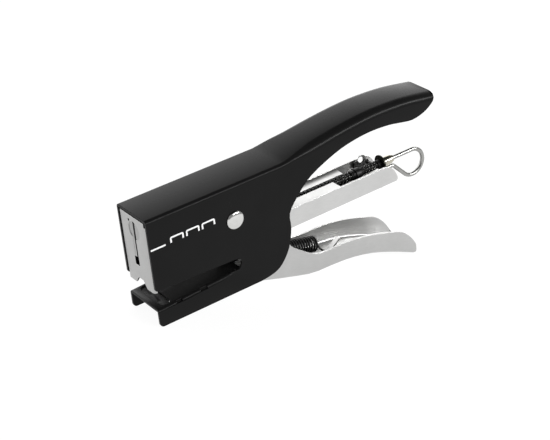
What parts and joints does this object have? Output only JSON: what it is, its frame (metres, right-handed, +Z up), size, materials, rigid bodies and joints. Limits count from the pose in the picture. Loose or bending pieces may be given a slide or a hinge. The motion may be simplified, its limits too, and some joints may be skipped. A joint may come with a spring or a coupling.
{
  "type": "hand plier stapler",
  "caption": "Plier stapler: sheet-steel body with a flat anvil arm and curved handle, pressing lever, hinged staple magazine with a wire-loop pusher, and springs.",
  "frame": {"origin": "the bottom centre of the box around the stapler as it stands on the front of its anvil arm and the tip of its lever", "axes": "+X from the anvil end towards the handles, +Y across the stapler, +Z up"},
  "size_m": [0.1862, 0.0298, 0.0932],
  "materials": {
    "black_paint": "satin baked paint",
    "dark_steel": "hardened, oil-blackened",
    "bright_steel": "polished plating",
    "satin_steel": "satin plating",
    "pale_brass": "nickel-washed brass",
    "black_steel": "oil-blackened"
  },
  "bodies": {
    "frame": {"body_shell": "black_paint", "anvil_die": "dark_steel", "main_rivet": "bright_steel", "pivot_bush": "satin_steel", "return_spring": "black_steel"},
    "lever": {"lever": "satin_steel", "drive_pin": "bright_steel"},
    "magazine": {"magazine": "satin_steel", "front_plate": "satin_steel", "plate_rivet_near": "bright_steel", "plate_rivet_far": "bright_steel", "staple_rail": "satin_steel", "rail_rivet_front": "bright_steel", "rail_rivet_rear": "bright_steel", "stop_rivet": "bright_steel", "staple_strip": "bright_steel"},
    "driver": {"driver_blade": "dark_steel"},
    "pusher": {"latch_bush": "black_steel", "pusher_spring": "black_steel"},
    "rod": {"pusher_rod": "bright_steel", "ferrule": "pale_brass", "end_washer": "dark_steel", "spring_cap": "black_steel", "latch_spring": "black_steel", "latch_plate": "dark_steel"},
    "follower": {"follower": "satin_steel"}
  },
  "joints": [
    {"name": "lever_hinge", "type": "hinge", "parent": "frame", "child": "lever", "pos_m": [-0.04131, 0, 0.04827], "axis": [0, -1, 0], "range_deg": [0, 19.5], "stiffness_Nm_per_rad": 1.5, "springref_deg": -28.65, "deforming": ["return_spring"]},
    {"name": "magazine_hinge", "type": "hinge", "parent": "frame", "child": "magazine", "pos_m": [-0.04131, 0, 0.04827], "axis": [0, -1, 0], "range_deg": [0, 8.52]},
    {"name": "driver_slide", "type": "slide", "parent": "magazine", "child": "driver", "axis": [0.1738, 0, -0.9848], "range_m": [0, 0.008]},
    {"name": "pusher_slide", "type": "slide", "parent": "magazine", "child": "pusher", "axis": [0.9848, 0, 0.1738], "range_m": [0, 0.095]},
    {"name": "loop_turn", "type": "hinge", "parent": "pusher", "child": "rod", "pos_m": [0.06292, 0, 0.05377], "axis": [0.9848, 0, 0.1738], "range_deg": [0, 90]},
    {"name": "follower_slide", "type": "slide", "parent": "pusher", "child": "follower", "axis": [0.9848, 0, 0.1738], "range_m": [0, 0.026], "stiffness_N_per_m": 60, "springref_m": -0.02, "deforming": ["pusher_spring"]}
  ],
  "couplings": [
    {"joint": "magazine_hinge", "follows": "lever_hinge", "ratio": 0.436},
    {"joint": "driver_slide", "follows": "lever_hinge", "m_per_rad": 0.0235}
  ]
}
